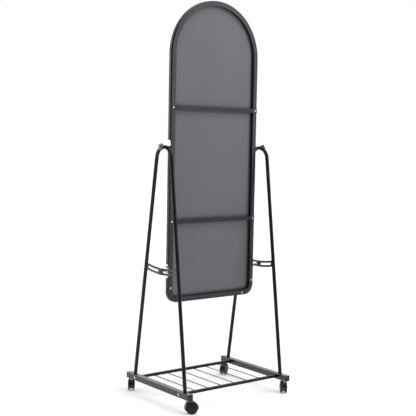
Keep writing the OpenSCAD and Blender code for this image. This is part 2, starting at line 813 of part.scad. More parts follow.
// The chromed stem, with a collar on the hood's boss and a groove near its top
module caster_stem(index) {
    foot_z = boss_bottom + boss_floor;
    groove_w = 2;
    color(chrome) at_caster(index) difference() {
        union() {
            translate([0, 0, foot_z]) cylinder(h = caster_h + stem_reach - foot_z, d = stem_d);
            translate([0, 0, hood_top]) cylinder(h = collar_h, r = collar_r);
        }
        translate([0, 0, caster_h + stem_reach - 3 * groove_w]) difference() {
            cylinder(h = groove_w, d = stem_d + overcut);
            cylinder(h = groove_w, d = stem_d - groove_w / 2);
        }
    }
}

module caster_axle(index) {
    color(chrome) at_caster(index) translate([trail, axle_l / 2, wheel_r]) rotate([90, 0, 0])
        cylinder(h = axle_l, d = axle_d);
}

// The wheels' section: the inner face on the x axis, a rounded tread, a domed outer face with two grooves
module wheel_section() {
    tread_x = wheel_r - wheel_edge_r;
    edge_w = dome_height(tread_x);
    difference() {
        union() {
            intersection() {
                square([tread_x, wheel_w]);
                translate([0, wheel_w - wheel_dome_r]) circle(r = wheel_dome_r, $fn = 256);
            }
            translate([0, wheel_edge_r]) square([wheel_r, edge_w - 2 * wheel_edge_r]);
            for (y = [wheel_edge_r, edge_w - wheel_edge_r]) translate([tread_x, y]) circle(r = wheel_edge_r);
        }
        for (x = [wheel_hub_r, wheel_r - wheel_rim])
            translate([x, dome_height(x) - wheel_groove]) square([wheel_groove, 2 * wheel_groove]);
    }
}

// One wheel, with a blind hole for the axle and round dimples in its outer face
module caster_wheel(index, side) {
    color(plastic_black) at_caster(index) translate([trail, side * wheel_gap / 2, wheel_r])
        rotate([-90 * side, 0, 0]) difference() {
            rotate_extrude() wheel_section();
            translate([0, 0, -overcut])
                cylinder(h = wheel_w - wheel_face + running_gap + overcut, r = axle_d / 2 + fit_gap);
            for (i = [0 : dimple_count - 1]) rotate([0, 0, 360 / dimple_count * i])
                translate([dimple_x, 0, dome_height(dimple_x) - dimple_depth])
                    cylinder(h = wheel_w, d = dimple_d);
        }
}

end_bar(-1);  // end_bar_left
end_bar(1);  // end_bar_right
end_cap(-1, -1);  // end_cap_front_left
end_cap(1, -1);  // end_cap_front_right
end_cap(-1, 1);  // end_cap_rear_left
end_cap(1, 1);  // end_cap_rear_right
cross_bar(-1);  // cross_bar_front
cross_bar(1);  // cross_bar_rear
shelf_wires();
cross_bolts();
foot_bolts();
caster_sockets();
leg_frame(-1);  // leg_frame_left
leg_frame(1);  // leg_frame_right
tilt_bracket(-1);  // tilt_bracket_left
tilt_bracket(1);  // tilt_bracket_right
mirror_frame();
bottom_rail();
corner_piece(-1);  // corner_piece_left
corner_piece(1);  // corner_piece_right
mirror_glass();
back_board();
back_strip(strip_up);  // back_strip_upper
back_strip(-strip_down);  // back_strip_lower
strip_screws();
corner_screws();
thread_inserts();
side_plates();
plate_screws();
pivot_sleeves();
pivot_knob(-1);  // pivot_knob_left
pivot_knob(1);  // pivot_knob_right
pivot_stud(-1);  // pivot_stud_left
pivot_stud(1);  // pivot_stud_right
lock_knob(-1);  // lock_knob_left
lock_knob(1);  // lock_knob_right
lock_stud(-1);  // lock_stud_left
lock_stud(1);  // lock_stud_right
caster_hood(0);  // hood_front_left
caster_hood(1);  // hood_front_right
caster_hood(2);  // hood_rear_left
caster_hood(3);  // hood_rear_right
caster_stem(0);  // stem_front_left
caster_stem(1);  // stem_front_right
caster_stem(2);  // stem_rear_left
caster_stem(3);  // stem_rear_right
caster_axle(0);  // axle_front_left
caster_axle(1);  // axle_front_right
caster_axle(2);  // axle_rear_left
caster_axle(3);  // axle_rear_right
caster_wheel(0, -1);  // wheel_a_front_left
caster_wheel(1, -1);  // wheel_a_front_right
caster_wheel(2, -1);  // wheel_a_rear_left
caster_wheel(3, -1);  // wheel_a_rear_right
caster_wheel(0, 1);  // wheel_b_front_left
caster_wheel(1, 1);  // wheel_b_front_right
caster_wheel(2, 1);  // wheel_b_rear_left
caster_wheel(3, 1);  // wheel_b_rear_right
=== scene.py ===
"""The looks of a rolling floor mirror: finishes, moulded knobs, threads, welds, camera and light.

Metres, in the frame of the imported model: the floor is at z = 0, +Z is up and the glass faces -Y.
Right is +X, as for someone who looks into the glass. The camera looks at the back.
"""

import math

import bmesh
import bpy
from mathutils import Matrix, Vector


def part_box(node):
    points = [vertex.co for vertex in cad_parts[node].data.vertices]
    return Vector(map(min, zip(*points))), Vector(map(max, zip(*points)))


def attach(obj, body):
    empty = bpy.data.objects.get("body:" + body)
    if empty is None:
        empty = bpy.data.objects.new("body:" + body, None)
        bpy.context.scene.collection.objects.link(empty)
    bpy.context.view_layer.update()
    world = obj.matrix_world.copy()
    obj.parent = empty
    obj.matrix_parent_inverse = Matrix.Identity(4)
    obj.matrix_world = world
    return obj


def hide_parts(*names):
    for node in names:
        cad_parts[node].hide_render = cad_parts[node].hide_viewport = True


MM = 0.001
WHITE = (1.0, 1.0, 1.0, 1.0)

# The camera: its place, its angles and a focal length in pixels of a 416-pixel image
IMAGE_PX = 416
FOCAL_PX = 928.9
SENSOR_MM = 36.0
CAMERA_AT = Vector((2.5404, 3.1395, 1.1499))
CAMERA_AZIMUTH = math.radians(141.291)
CAMERA_ELEVATION = math.radians(4.686)
CAMERA_ROLL = math.radians(1.420)

# Light: how bright the room before the object is, for surfaces and for gloss, against a white
# backdrop of 1, and the share of a ray's direction towards the backdrop where the one passes
# into the other
ROOM_LIGHT = 0.22
ROOM_GLOSS = 0.06
ROOM_TO_BACKDROP = (-0.3, 0.75)
# What the mirror shows: white at the horizon, light grey from this share of the way up
SKY_TOP = 0.5
SKY_GREY = 0.55

# The floor: its radius, its tone, and a glow for the camera that grows with distance
FLOOR_R = 14.0
FLOOR_TONE = (0.80, 0.82)
FLOOR_GLOW_AT = (1.0, 5.0)
FLOOR_GLOW = (0.30, 0.78)

# Soft boxes: place (right, up, towards the camera) from LIT_POINT, width and height, watts
LIT_POINT = Vector((0, 0, 0.85))
LAMPS = (
    ("left_box", (-2.6, 0.75, -0.7), (0.5, 2.4), 24),
    ("top_box", (0.9, 2.5, 0.6), (2.6, 2.6), 69),
    ("right_box", (2.6, 0.8, 0.6), (0.8, 2.0), 18),
)

# The mirror: its tilt at rest, its pivots, and how far its frame reaches before and behind them
REST_TILT = math.radians(0.5)
PIVOT = Vector((0, 0, 1.083))
MIRROR_BACK = Vector((0, math.cos(REST_TILT), math.sin(REST_TILT)))
SIDE_FRONT = -15.25 * MM
SIDE_BACK = 6.75 * MM
ARCH_Z = 1.472

# Knobs in millimetres: the whole, the lobes and flutes, the roundings from seat to face, the mould
# seam, and how far the softened outline may stand outside the true one
KNOB_H = 8.5
KNOB_BOSS_H = 4.5
KNOB_DOME_H = 1
KNOB_LOBES = 5
KNOB_FLUTES = 12
FLUTE_R = 1.6
LOBE_SHARE = 0.16
BOSS_SHARE = 0.6
BOSS_EDGE = 0.4
BOSS_FILLET = 0.5
SEAT_EDGE = 1.2
FACE_EDGE = 1.5
SEAM_W = 0.25
SEAM_H = 0.12
OUTLINE_SLACK = 0.12
FACE_RING = ((0.1, 0.7), (0.0, 0.3), (0.0, 0.0))
DOME_TIP_R = 0.02
BORE_GAP = 0.05
# Each kind of knob: its diameter, and its stud's diameter and pitch
KNOBS = (("pivot", 30, 8.0, 1.25), ("lock", 26, 6.0, 1.0))
THREAD_DEPTH = 0.61
THREAD_END = 1.2

# The base and the brackets in millimetres
WIRE_COUNT = 6
WIRE_PITCH = 72
WIRE_R = 2.0
WIRE_Z = 68.0
CROSS_FACE_Y = 153.5
CROSS_BOTTOM = 65.5
ARC_R = 524
ARC_W = 28
ARC_T = 3
LEG_X = 265.5
TUBE_R = 8.0
LEAN = math.radians(7.7)
CROWN_R = 52
CROWN_Z = 1031

# Weld beads in millimetres: how far they reach and swell, and how far they sink into the steel
WIRE_WELD_REACH = 3.2
WIRE_WELD_SWELL = 1.9
WIRE_WELD_SINK = 0.15
WIRE_WELD_FLOOR = 0.2
SEAM_WELD_R = (0.15, 1.15)
SEAM_WELD_RIPPLES = 11
SEAM_WELD_INSET = 0.6
SEAM_WELD_STEP = 0.05
LEG_SEARCH = 1000

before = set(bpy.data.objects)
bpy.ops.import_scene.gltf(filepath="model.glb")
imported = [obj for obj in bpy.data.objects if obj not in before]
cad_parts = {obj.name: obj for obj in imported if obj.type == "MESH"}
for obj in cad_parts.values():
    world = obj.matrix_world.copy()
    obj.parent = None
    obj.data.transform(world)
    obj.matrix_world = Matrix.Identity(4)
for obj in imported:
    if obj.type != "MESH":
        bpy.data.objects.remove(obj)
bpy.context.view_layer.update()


# ---- Node helpers ----


def wire(tree, value, socket):
    """Links a socket to an input, or writes a plain value on it."""
    if isinstance(value, bpy.types.NodeSocket):
        tree.links.new(value, socket)
    else:
        socket.default_value = value


def number(tree, operation, *values):
    """The result of a Math node."""
    node = tree.nodes.new("ShaderNodeMath")
    node.operation = operation
    for value, socket in zip(values, node.inputs):
        wire(tree, value, socket)
    return node.outputs["Value"]


def vector(tree, operation, *values):
    """The result of a Vector Math node; the factor of a SCALE comes last."""
    node = tree.nodes.new("ShaderNodeVectorMath")
    node.operation = operation
    sockets = (node.inputs[0], node.inputs["Scale"]) if operation == "SCALE" else node.inputs
    for value, socket in zip(values, sockets):
        wire(tree, value, socket)
    return node.outputs["Value" if operation in ("DOT_PRODUCT", "LENGTH") else "Vector"]


def mapped(tree, value, before, after, smooth=False):
    """A value clamped to one range and carried over to another."""
    node = tree.nodes.new("ShaderNodeMapRange")
    if smooth:
        node.interpolation_type = "SMOOTHSTEP"
    node.inputs["From Min"].default_value, node.inputs["From Max"].default_value = before
    node.inputs["To Min"].default_value, node.inputs["To Max"].default_value = after
    wire(tree, value, node.inputs["Value"])
    return node.outputs["Result"]


# A Mix node's two inputs and its output, by kind of data
MIX_SOCKETS = {"FLOAT": (2, 3, 0), "VECTOR": (4, 5, 1), "RGBA": (6, 7, 2)}


def mixed(tree, kind, factor, first, second):
    """The result of a Mix node."""
    node = tree.nodes.new("ShaderNodeMix")
    node.data_type = kind
    start, end, result = MIX_SOCKETS[kind]
    wire(tree, factor, node.inputs[0])
    wire(tree, first, node.inputs[start])
    wire(tree, second, node.inputs[end])
    return node.outputs[result]


def coordinates(tree, kind):
    """Texture coordinates: Object is in metres, because every node's object sits at the origin."""
    return tree.nodes.new("ShaderNodeTexCoord").outputs[kind]


def separated(tree, value):
    """The three parts of a vector."""
    node = tree.nodes.new("ShaderNodeSeparateXYZ")
    wire(tree, value, node.inputs["Vector"])
    return node.outputs


def finished(tree, kind, shader):
    """Ends a material's or a world's tree."""
    tree.links.new(shader, tree.nodes.new(kind).inputs["Surface"])


# ---- Camera, floor and light ----


def camera_axes():
    """The camera's right, up and backward directions."""
    flat = math.cos(CAMERA_ELEVATION)
    back = Vector((
        math.sin(CAMERA_AZIMUTH) * flat,
        -math.cos(CAMERA_AZIMUTH) * flat,
        math.sin(CAMERA_ELEVATION),
    ))
    level = (-back).cross(Vector((0, 0, 1))).normalized()
    upright = level.cross(-back)
    right = level * math.cos(CAMERA_ROLL) + upright * math.sin(CAMERA_ROLL)
    up = upright * math.cos(CAMERA_ROLL) - level * math.sin(CAMERA_ROLL)
    return right, up, back


def add_camera():
    data = bpy.data.cameras.new("camera")
    data.sensor_fit = "HORIZONTAL"
    data.sensor_width = SENSOR_MM
    data.lens = FOCAL_PX * SENSOR_MM / IMAGE_PX
    data.clip_end = 100
    camera = bpy.data.objects.new("camera", data)
    bpy.context.scene.collection.objects.link(camera)
    turn = Matrix(camera_axes()).transposed().to_4x4()
    camera.matrix_world = Matrix.Translation(CAMERA_AT) @ turn
    bpy.context.scene.camera = camera


def background(tree, strength):
    """A white background of some strength."""
    node = tree.nodes.new("ShaderNodeBackground")
    node.inputs["Color"].default_value = WHITE
    wire(tree, strength, node.inputs["Strength"])
    return node.outputs["Background"]


def chosen(tree, factor, first, second):
    """One of two shaders."""
    node = tree.nodes.new("ShaderNodeMixShader")
    wire(tree, factor, node.inputs["Fac"])
    tree.links.new(first, node.inputs[1])
    tree.links.new(second, node.inputs[2])
    return node.outputs["Shader"]


def add_world():
    """White for the camera and through glass, and pale in the mirror.

    Soft gloss and plain surfaces see white behind the object and a dim room before it.
    """
    world = bpy.data.worlds.new("studio")
    bpy.context.scene.world = world
    world.use_nodes = True
    tree = world.node_tree
    tree.nodes.clear()
    ray = coordinates(tree, "Generated")
    towards = vector(tree, "DOT_PRODUCT", ray, -camera_axes()[2])
    room, gloss = (
        background(tree, mapped(tree, towards, ROOM_TO_BACKDROP, (low, 1.0), smooth=True))
        for low in (ROOM_LIGHT, ROOM_GLOSS)
    )
    height = separated(tree, ray)["Z"]
    sky = background(tree, mapped(tree, height, (0.0, SKY_TOP), (1.0, SKY_GREY), smooth=True))
    rays = tree.nodes.new("ShaderNodeLightPath").outputs
    direct = number(tree, "MAXIMUM", rays["Is Camera Ray"], rays["Is Transmission Ray"])
    by_gloss = chosen(tree, rays["Is Glossy Ray"], room, gloss)
    by_mirror = chosen(tree, rays["Is Singular Ray"], by_gloss, sky)
    finished(tree, "ShaderNodeOutputWorld", chosen(tree, direct, by_mirror, background(tree, 1.0)))


def floor_material():
    """A pale floor that is white to the camera where nothing shades it."""
    material = bpy.data.materials.new("floor")
    material.use_nodes = True
    tree = material.node_tree
    tree.nodes.clear()
    place = coordinates(tree, "Object")
    noise = tree.nodes.new("ShaderNodeTexNoise")
    noise.inputs["Scale"].default_value = 3.0
    tree.links.new(place, noise.inputs["Vector"])
    pale = tree.nodes.new("ShaderNodeBsdfDiffuse")
    wire(tree, mapped(tree, noise.outputs["Fac"], (0, 1), FLOOR_TONE), pale.inputs["Color"])
    rays = tree.nodes.new("ShaderNodeLightPath").outputs
    direct = number(tree, "MAXIMUM", rays["Is Camera Ray"], rays["Is Glossy Ray"])
    far = mapped(tree, vector(tree, "LENGTH", place), FLOOR_GLOW_AT, FLOOR_GLOW)
    glow = tree.nodes.new("ShaderNodeEmission")
    wire(tree, number(tree, "MULTIPLY", direct, far), glow.inputs["Strength"])
    both = tree.nodes.new("ShaderNodeAddShader")
    tree.links.new(pale.outputs["BSDF"], both.inputs[0])
    tree.links.new(glow.outputs["Emission"], both.inputs[1])
    finished(tree, "ShaderNodeOutputMaterial", both.outputs["Shader"])
    return material


def add_floor():
    shape = bmesh.new()
    bmesh.ops.create_circle(shape, cap_ends=True, segments=96, radius=FLOOR_R)
    data = bpy.data.meshes.new("floor")
    shape.to_mesh(data)
    shape.free()
    data.materials.append(floor_material())
    floor = bpy.data.objects.new("floor", data)
    bpy.context.scene.collection.objects.link(floor)


def add_lamps():
    """Soft boxes round the object, turned to it."""
    right, _, back = camera_axes()
    for name, where, size, watts in LAMPS:
        place = LIT_POINT + right * where[0] + Vector((0, 0, 1)) * where[1] + back * where[2]
        data = bpy.data.lights.new(name, "AREA")
        data.shape = "RECTANGLE"
        data.size, data.size_y = size
        data.energy = watts
        lamp = bpy.data.objects.new(name, data)
        bpy.context.scene.collection.objects.link(lamp)
        turn = (place - LIT_POINT).to_track_quat("Z", "Y").to_matrix().to_4x4()
        lamp.matrix_world = Matrix.Translation(place) @ turn


# ---- Materials ----

# Tints of the sheen on the warm and the cool blacks
WARM = (1.0, 0.84, 0.88)
COOL = (0.94, 0.91, 1.0)
# What rubbed edges of paint and plastic turn into
RUBBED_PAINT = (0.10, 0.10, 0.10)
RUBBED_PLASTIC = (0.06, 0.06, 0.06)
# The middle of a noise's range
NOISE_RANGE = (0.3, 0.7)
# How far the shading normal rolls round the frame's side: from, by, and how late
SIDE_ROLL_FROM = math.radians(-35)
SIDE_ROLL_BY = math.radians(115)
SIDE_ROLL_LATE = 1.8
# Painted shade on the board along the frame, where its recess is in shade: how far it reaches
# from the frame, its darkest tone, and how high above the arch's start it has faded
PAINTED_SHADE_REACH = 18 * MM
PAINTED_SHADE_TONE = 0.15
PAINTED_SHADE_FADE = 0.2


def new_surface(name):
    material = bpy.data.materials.new(name)
    material.use_nodes = True
    tree = material.node_tree
    return material, tree, tree.nodes["Principled BSDF"]


def noise_node(tree, scale, detail=3.0, stretch=(1, 1, 1)):
    """Noise over the object's own coordinates in metres."""
    spread = tree.nodes.new("ShaderNodeMapping")
    spread.inputs["Scale"].default_value = stretch
    noise = tree.nodes.new("ShaderNodeTexNoise")
    noise.inputs["Scale"].default_value = scale
    noise.inputs["Detail"].default_value = detail
    tree.links.new(coordinates(tree, "Object"), spread.inputs["Vector"])
    tree.links.new(spread.outputs["Vector"], noise.inputs["Vector"])
    return noise.outputs["Fac"]


def ranged(tree, value, low, high):
    """Maps the middle of a noise's range to low..high."""
    return mapped(tree, value, NOISE_RANGE, (low, high))


def blended(tree, value, dark, light):
    """A colour between two, by a noise value."""
    return mixed(tree, "RGBA", ranged(tree, value, 0.0, 1.0), (*dark, 1), (*light, 1))


def shaded(colour, factor):
    return tuple(min(1.0, c * factor) for c in colour)


def bevelled(tree, radius, samples):
    """A normal that rolls round edges."""
    node = tree.nodes.new("ShaderNodeBevel")
    node.samples = samples
    node.inputs["Radius"].default_value = radius
    return node.outputs["Normal"]


def relief(tree, surface, height, strength, distance, edge):
    """A fine relief over edges that catch the light as if slightly rounded."""
    bump = tree.nodes.new("ShaderNodeBump")
    bump.inputs["Strength"].default_value = strength
    bump.inputs["Distance"].default_value = distance
    tree.links.new(height, bump.inputs["Height"])
    tree.links.new(bevelled(tree, edge, 8), bump.inputs["Normal"])
    tree.links.new(bump.outputs["Normal"], surface.inputs["Normal"])


def worn(tree, colour, width, amount, tint):
    """A colour that is rubbed lighter in places along the edges."""
    true = tree.nodes.new("ShaderNodeNewGeometry").outputs["Normal"]
    same = vector(tree, "DOT_PRODUCT", bevelled(tree, width, 4), true)
    near = mapped(tree, same, (0.995, 0.85), (0, 1))
    rubbed = mapped(tree, noise_node(tree, 110.0, 4.0), (0.48, 0.72), (0, amount))
    return mixed(tree, "RGBA", number(tree, "MULTIPLY", near, rubbed), colour, (*tint, 1))


def paint(name, colour, roughness, grain=900.0, edge=0.6 * MM, bump=0.25, gloss=0.5,
          lacquer=0.0, tint=(1, 1, 1)):
    """Powder paint: fine orange peel, and slow changes of tone and gloss."""
    material, tree, surface = new_surface(name)
    slow = noise_node(tree, 14.0)
    fine = noise_node(tree, grain, 2.0)
    colours = blended(tree, slow, shaded(colour, 0.82), shaded(colour, 1.18))
    wire(tree, worn(tree, colours, 0.5 * MM, 0.5, RUBBED_PAINT), surface.inputs["Base Color"])
    uneven = ranged(tree, slow, roughness - 0.04, roughness + 0.05)
    wire(tree, uneven, surface.inputs["Roughness"])
    surface.inputs["Specular IOR Level"].default_value = gloss
    surface.inputs["Specular Tint"].default_value = (*tint, 1)
    surface.inputs["Coat Weight"].default_value = lacquer
    surface.inputs["Coat Roughness"].default_value = 0.12
    surface.inputs["Coat IOR"].default_value = 1.6
    relief(tree, surface, fine, bump, 0.1 * MM, edge)
    return material


def rounded_side(tree):
    """A normal that rolls round the outer side of the mirror's frame, from front lip to back.

    With it comes 1 on that side and 0 elsewhere.
    """
    place = coordinates(tree, "Object")
    normal = coordinates(tree, "Normal")
    depth = vector(tree, "DOT_PRODUCT", vector(tree, "SUBTRACT", place, PIVOT), MIRROR_BACK)
    share = mapped(tree, depth, (SIDE_FRONT, SIDE_BACK), (0, 1))
    late = number(tree, "POWER", share, SIDE_ROLL_LATE)
    turn = number(tree, "MULTIPLY_ADD", late, SIDE_ROLL_BY, SIDE_ROLL_FROM)
    sideways = vector(tree, "SCALE", normal, number(tree, "COSINE", turn))
    backwards = vector(tree, "SCALE", MIRROR_BACK, number(tree, "SINE", turn))
    rolled = tree.nodes.new("ShaderNodeVectorTransform")
    rolled.vector_type = "NORMAL"
    rolled.convert_from = "OBJECT"
    rolled.convert_to = "WORLD"
    wire(tree, vector(tree, "ADD", sideways, backwards), rolled.inputs["Vector"])
    parts = separated(tree, place)
    above = number(tree, "MAXIMUM", number(tree, "SUBTRACT", parts["Z"], ARCH_Z), 0.0)
    outward = tree.nodes.new("ShaderNodeCombineXYZ")
    tree.links.new(parts["X"], outward.inputs["X"])
    tree.links.new(above, outward.inputs["Z"])
    away = vector(tree, "DOT_PRODUCT", outward.outputs["Vector"], normal)
    is_outer = number(tree, "GREATER_THAN", away, 0.02)
    facing = number(tree, "ABSOLUTE", vector(tree, "DOT_PRODUCT", normal, MIRROR_BACK))
    is_side = number(tree, "LESS_THAN", facing, 0.5)
    return rolled.outputs["Vector"], number(tree, "MULTIPLY", is_outer, is_side)


def frame_paint(name, colour, roughness, tint):
    """Powder paint on the mirror's rounded frame."""
    material = paint(name, colour, roughness, edge=2.0 * MM, tint=tint)
    tree = material.node_tree
    bump = next(node for node in tree.nodes if node.bl_idname == "ShaderNodeBump")
    plain = bump.inputs["Normal"].links[0].from_socket
    rolled, outer = rounded_side(tree)
    tree.links.new(mixed(tree, "VECTOR", outer, plain, rolled), bump.inputs["Normal"])
    return material


def moulded(name, colour, roughness, gloss=0.35):
    """Moulded plastic with a fine spark-eroded grain."""
    material, tree, surface = new_surface(name)
    slow = noise_node(tree, 30.0)
    fine = noise_node(tree, 1600.0, 4.0)
    colours = blended(tree, slow, shaded(colour, 0.8), shaded(colour, 1.25))
    wire(tree, worn(tree, colours, 0.4 * MM, 0.4, RUBBED_PLASTIC), surface.inputs["Base Color"])
    uneven = ranged(tree, fine, roughness - 0.06, roughness + 0.08)
    wire(tree, uneven, surface.inputs["Roughness"])
    surface.inputs["Specular IOR Level"].default_value = gloss
    surface.inputs["Specular Tint"].default_value = (*WARM, 1)
    relief(tree, surface, fine, 0.3, 0.06 * MM, 0.5 * MM)
    return material


def plated(name, colour, roughness):
    """Bright plated steel with faint turning marks and a little haze."""
    material, tree, surface = new_surface(name)
    surface.inputs["Metallic"].default_value = 1.0
    slow = noise_node(tree, 60.0)
    fine = noise_node(tree, 700.0, 2.0)
    wire(tree, blended(tree, slow, shaded(colour, 0.88), colour), surface.inputs["Base Color"])
    uneven = ranged(tree, slow, roughness - 0.05, roughness + 0.08)
    wire(tree, uneven, surface.inputs["Roughness"])
    relief(tree, surface, fine, 0.08, 0.05 * MM, 0.35 * MM)
    return material


def silvered(name):
    """Silvered glass: a clear mirror."""
    material, tree, surface = new_surface(name)
    surface.inputs["Metallic"].default_value = 1.0
    surface.inputs["Roughness"].default_value = 0.0
    silver = blended(tree, noise_node(tree, 6.0), (0.89, 0.92, 0.91), (0.91, 0.93, 0.92))
    wire(tree, silver, surface.inputs["Base Color"])
    return material


def board(name, colour):
    """Hard board with a matt grey face: fine fibres, slow clouds, and painted shade along the
    frame.
    """
    material, tree, surface = new_surface(name)
    clouds = noise_node(tree, 5.0, 4.0)
    fibres = noise_node(tree, 420.0, 5.0, stretch=(1.0, 1.0, 0.35))
    pattern = mixed(tree, "FLOAT", 0.45, clouds, fibres)
    tone = blended(tree, pattern, shaded(colour, 0.93), shaded(colour, 1.07))
    # Painted shade: ambient occlusion darkens the base colour near the frame's walls, where the
    # recess is in shade, and less so above the arch's start
    height = separated(tree, coordinates(tree, "Object"))["Z"]
    shade_fade = mapped(tree, height, (ARCH_Z, ARCH_Z + PAINTED_SHADE_FADE), (0.0, 0.5))
    corner = tree.nodes.new("ShaderNodeAmbientOcclusion")
    corner.samples = 8
    corner.inputs["Distance"].default_value = PAINTED_SHADE_REACH
    unshaded_share = number(tree, "ADD", corner.outputs["AO"], shade_fade)
    painted_shade = mapped(tree, unshaded_share, (0.6, 0.95), (PAINTED_SHADE_TONE, 1.0))
    wire(tree, vector(tree, "SCALE", tone, painted_shade), surface.inputs["Base Color"])
    wire(tree, ranged(tree, fibres, 0.55, 0.68), surface.inputs["Roughness"])
    surface.inputs["Specular IOR Level"].default_value = 0.35
    relief(tree, surface, fibres, 0.15, 0.08 * MM, 0.3 * MM)
    return material


FRAME_PAINT = frame_paint("frame_paint", (0.011, 0.0105, 0.0125), 0.34, COOL)
STRIP_PAINT = paint("strip_paint", (0.0085, 0.008, 0.0095), 0.40, gloss=0.4, tint=COOL)
TUBE_PAINT = paint("tube_paint", (0.0125, 0.0098, 0.0106), 0.30, gloss=0.25, tint=WARM)
BAR_PAINT = paint("bar_paint", (0.024, 0.0195, 0.021), 0.20, bump=0.05, edge=0.8 * MM,
                  lacquer=0.25, tint=WARM)
BRACKET_PAINT = paint("bracket_paint", (0.034, 0.030, 0.029), 0.42, edge=0.8 * MM, tint=WARM)
WIRE_PAINT = paint("wire_paint", (0.035, 0.034, 0.036), 0.36, bump=0.15)
WELD_PAINT = paint("weld_paint", (0.020, 0.020, 0.021), 0.36, grain=500.0, bump=0.5)
PLASTIC = moulded("black_plastic", (0.007, 0.0065, 0.0068), 0.30, gloss=0.4)
KNOB_PLASTIC = moulded("knob_plastic", (0.010, 0.0095, 0.010), 0.24, gloss=0.5)
HOOD_PLASTIC = moulded("hood_plastic", (0.013, 0.012, 0.013), 0.28, gloss=0.5)
WHEEL_PLASTIC = moulded("wheel_plastic", (0.008, 0.0075, 0.008), 0.38)
BRIGHT_STEEL = plated("bright_steel", (0.78, 0.78, 0.79), 0.20)
SILVER = silvered("mirror_silver")
BOARD = board("grey_board", (0.155, 0.149, 0.167))

# Finishes, each with the starts of the names that it goes on; what isn't listed is plastic
FINISHES = (
    (TUBE_PAINT, ("leg_frame", "cross_bar")),
    (FRAME_PAINT, ("mirror_frame", "bottom_rail", "corner_piece")),
    (STRIP_PAINT, ("back_strip",)),
    (BAR_PAINT, ("end_bar",)),
    (BRACKET_PAINT, ("tilt_bracket",)),
    (WIRE_PAINT, ("shelf_wires",)),
    (HOOD_PLASTIC, ("hood",)),
    (WHEEL_PLASTIC, ("wheel",)),
    (SILVER, ("mirror_glass",)),
    (BOARD, ("back_board",)),
    (BRIGHT_STEEL, ("side_plates", "plate_screws", "cross_bolts", "foot_bolts", "strip_screws",
                    "corner_screws", "thread_inserts", "pivot_stud", "lock_stud", "stem", "axle")),
)


def finish_nodes():
    """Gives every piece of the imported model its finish."""
    for name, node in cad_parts.items():
        finish = next((look for look, starts in FINISHES if name.startswith(starts)), PLASTIC)
        node.data.materials.clear()
        node.data.materials.append(finish)


# ---- Pieces made here ----


def add_piece(name, vertices, faces, material, body, slot):
    """A smooth piece in the model's own frame that rides on a body."""
    data = bpy.data.meshes.new(name)
    data.from_pydata(vertices, [], faces)
    shape = bmesh.new()
    shape.from_mesh(data)
    bmesh.ops.recalc_face_normals(shape, faces=shape.faces)
    shape.to_mesh(data)
    shape.free()
    data.polygons.foreach_set("use_smooth", [True] * len(data.polygons))
    data.materials.append(material)
    piece = bpy.data.objects.new(name, data)
    bpy.context.scene.collection.objects.link(piece)
    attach(piece, body)
    return piece


def skin(rings, start=0):
    """Points and faces of a closed skin over rings of equally many points.

    start is how many points come before these in the mesh.
    """
    around = len(rings[0])
    vertices = [point for ring in rings for point in ring]
    faces = []
    for i in range(len(rings) - 1):
        low = start + i * around
        for j in range(around):
            k = (j + 1) % around
            faces.append((low + j, low + k, low + around + k, low + around + j))
    last = start + (len(rings) - 1) * around
    faces.append(tuple(range(start + around - 1, start - 1, -1)))
    faces.append(tuple(range(last, last + around)))
    return vertices, faces


def turns(count):
    """Equal angles round a circle."""
    return [2 * math.pi * j / count for j in range(count)]


def off_middle(angle, count):
    """The angle from the nearest of equally spaced lobes or flutes."""
    step = 2 * math.pi / count
    return (angle + step / 2) % step - step / 2


def lobed_radius(angle, diameter):
    """How far a star knob's outline is from its middle, with soft hollows between the lobes."""
    lobe_r = diameter * LOBE_SHARE
    ring = diameter / 2 - lobe_r
    off = off_middle(angle, KNOB_LOBES)
    hollow = diameter / 2 - lobe_r / 2
    inside = lobe_r**2 - (ring * math.sin(off)) ** 2
    if inside <= 0:
        return hollow
    return max(hollow, ring * math.cos(off) + math.sqrt(inside))


def fluted_radius(angle, diameter):
    """How far a fluted knob's outline is from its middle."""
    off = off_middle(angle, KNOB_FLUTES)
    middle = diameter / 2 + FLUTE_R / 2
    inside = FLUTE_R**2 - (middle * math.sin(off)) ** 2
    if inside <= 0:
        return diameter / 2
    return min(diameter / 2, middle * math.cos(off) - math.sqrt(inside))


def knob_profile(boss_r, bore_r):
    """A knob's section from its seat to the middle of its domed face.

    Each step is a height, and a radius ("round") or a distance in from the outline ("inset").
    """
    head = KNOB_BOSS_H
    top = head + KNOB_H
    middle = (head + top) / 2
    steps = [(0.0, "round", bore_r), (0.0, "round", boss_r - BOSS_EDGE)]
    steps += [(BOSS_EDGE, "round", boss_r), (head - BOSS_FILLET, "round", boss_r)]
    steps += [(head, "round", boss_r + BOSS_FILLET), (head, "inset", SEAT_EDGE)]
    for i in range(1, 6):
        turn = math.pi / 2 * i / 5
        up, back = SEAT_EDGE * (1 - math.cos(turn)), SEAT_EDGE * (1 - math.sin(turn))
        steps.append((head + up, "inset", back))
    for up, out in ((-SEAM_W, 0.0), (0.0, SEAM_H), (SEAM_W, 0.0)):
        steps.append((middle + up, "inset", -out))
    for i in range(6):
        turn = math.pi / 2 * i / 5
        down, back = FACE_EDGE * (1 - math.sin(turn)), FACE_EDGE * (1 - math.cos(turn))
        steps.append((top - down, "inset", back))
    steps += [(top + up, "round", boss_r + out) for up, out in FACE_RING]
    for i in range(1, 6):
        share = i / 5
        radius = boss_r * (1 - share) + DOME_TIP_R * share
        steps.append((top + KNOB_DOME_H * (1 - (1 - share) ** 2), "round", radius))
    return steps, top


